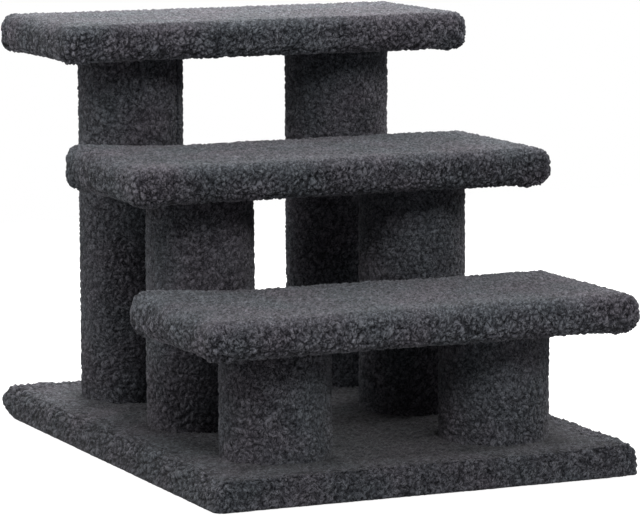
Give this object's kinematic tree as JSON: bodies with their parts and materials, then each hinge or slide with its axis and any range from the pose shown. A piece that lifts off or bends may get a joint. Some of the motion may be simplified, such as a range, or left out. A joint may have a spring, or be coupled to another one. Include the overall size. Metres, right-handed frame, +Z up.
{
  "type": "pet stairs",
  "caption": "Free-standing indoor pet stairs: fleece-covered treads on round wrapped posts over a flat base board, for a pet to climb on to a sofa or bed.",
  "frame": {"origin": "on the floor, under the middle of the base", "axes": "+X along the steps to the right seen from the front, +Y from the lowest step back to the highest, +Z up"},
  "size_m": [0.4, 0.524, 0.377],
  "materials": {
    "fleece": "matte",
    "particle_board": "matte",
    "paper_tube": "matte",
    "plug_wood": "matte",
    "zinc_steel": "satin"
  },
  "bodies": {
    "root": {"base_board": "particle_board", "base_cover": "fleece", "lower_step_board": "particle_board", "lower_step_cover": "fleece", "lower_step_facing": "fleece", "middle_step_board": "particle_board", "middle_step_cover": "fleece", "middle_step_facing": "fleece", "upper_step_board": "particle_board", "upper_step_cover": "fleece", "upper_step_facing": "fleece", "lower_left_post_tube": "paper_tube", "lower_left_post_sleeve": "fleece", "lower_left_post_foot_plug": "plug_wood", "lower_left_post_head_plug": "plug_wood", "lower_right_post_tube": "paper_tube", "lower_right_post_sleeve": "fleece", "lower_right_post_foot_plug": "plug_wood", "lower_right_post_head_plug": "plug_wood", "middle_left_post_tube": "paper_tube", "middle_left_post_sleeve": "fleece", "middle_left_post_foot_plug": "plug_wood", "middle_left_post_head_plug": "plug_wood", "middle_right_post_tube": "paper_tube", "middle_right_post_sleeve": "fleece", "middle_right_post_foot_plug": "plug_wood", "middle_right_post_head_plug": "plug_wood", "upper_left_post_tube": "paper_tube", "upper_left_post_sleeve": "fleece", "upper_left_post_foot_plug": "plug_wood", "upper_left_post_head_plug": "plug_wood", "upper_right_post_tube": "paper_tube", "upper_right_post_sleeve": "fleece", "upper_right_post_foot_plug": "plug_wood", "upper_right_post_head_plug": "plug_wood", "step_tee_nuts": "zinc_steel", "plug_tee_nuts": "zinc_steel", "step_studs": "zinc_steel", "base_bolts": "zinc_steel", "base_washers": "zinc_steel"}
  },
  "joints": []
}
